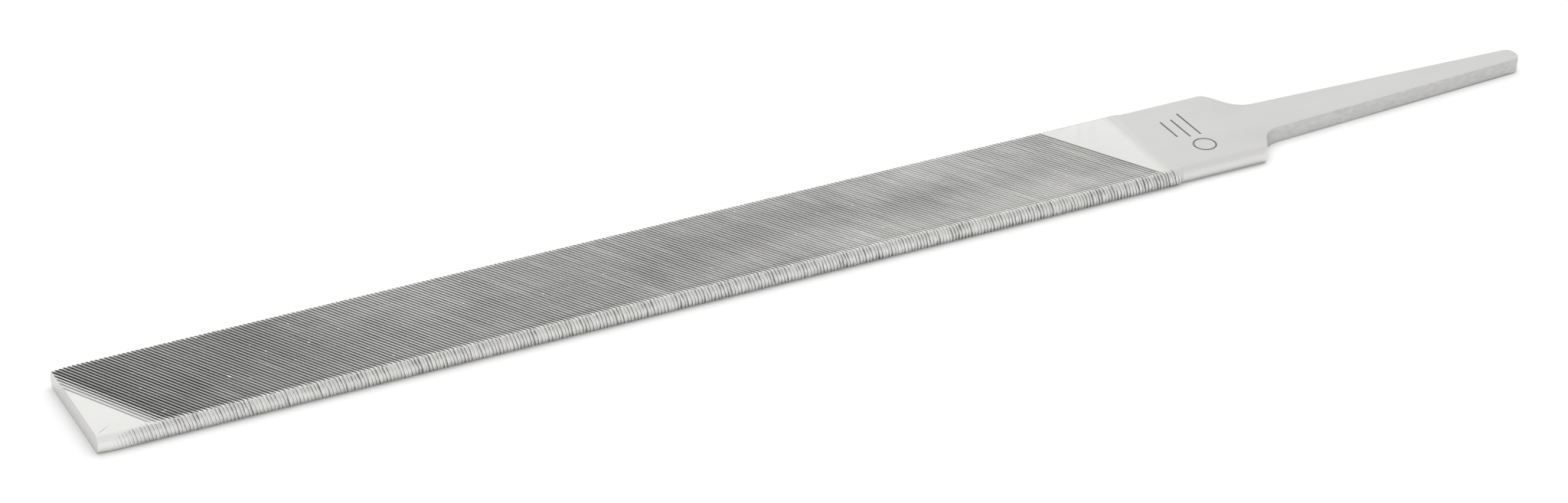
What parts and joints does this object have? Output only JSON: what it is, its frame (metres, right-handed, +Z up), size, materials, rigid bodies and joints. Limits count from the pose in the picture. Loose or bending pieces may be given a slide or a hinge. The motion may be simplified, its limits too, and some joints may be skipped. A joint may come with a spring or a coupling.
{
  "type": "flat file",
  "caption": "Single-cut flat file with round cut edges, a bare heel and a tapered tang for a handle.",
  "frame": {"origin": "under the middle of the whole length, on the plane that the file lies on", "axes": "+X from the tip to the tang, +Y across the file, +Z up out of the upper face"},
  "size_m": [0.1926, 0.016, 0.0023],
  "materials": {
    "toothed_steel": "file teeth, hardened steel",
    "ground_steel": "fine ground, satin",
    "tang_steel": "satin, lightly grained on its sides"
  },
  "bodies": {
    "root": {"blade": "toothed_steel", "heel": "ground_steel", "tang": "tang_steel"}
  },
  "joints": []
}
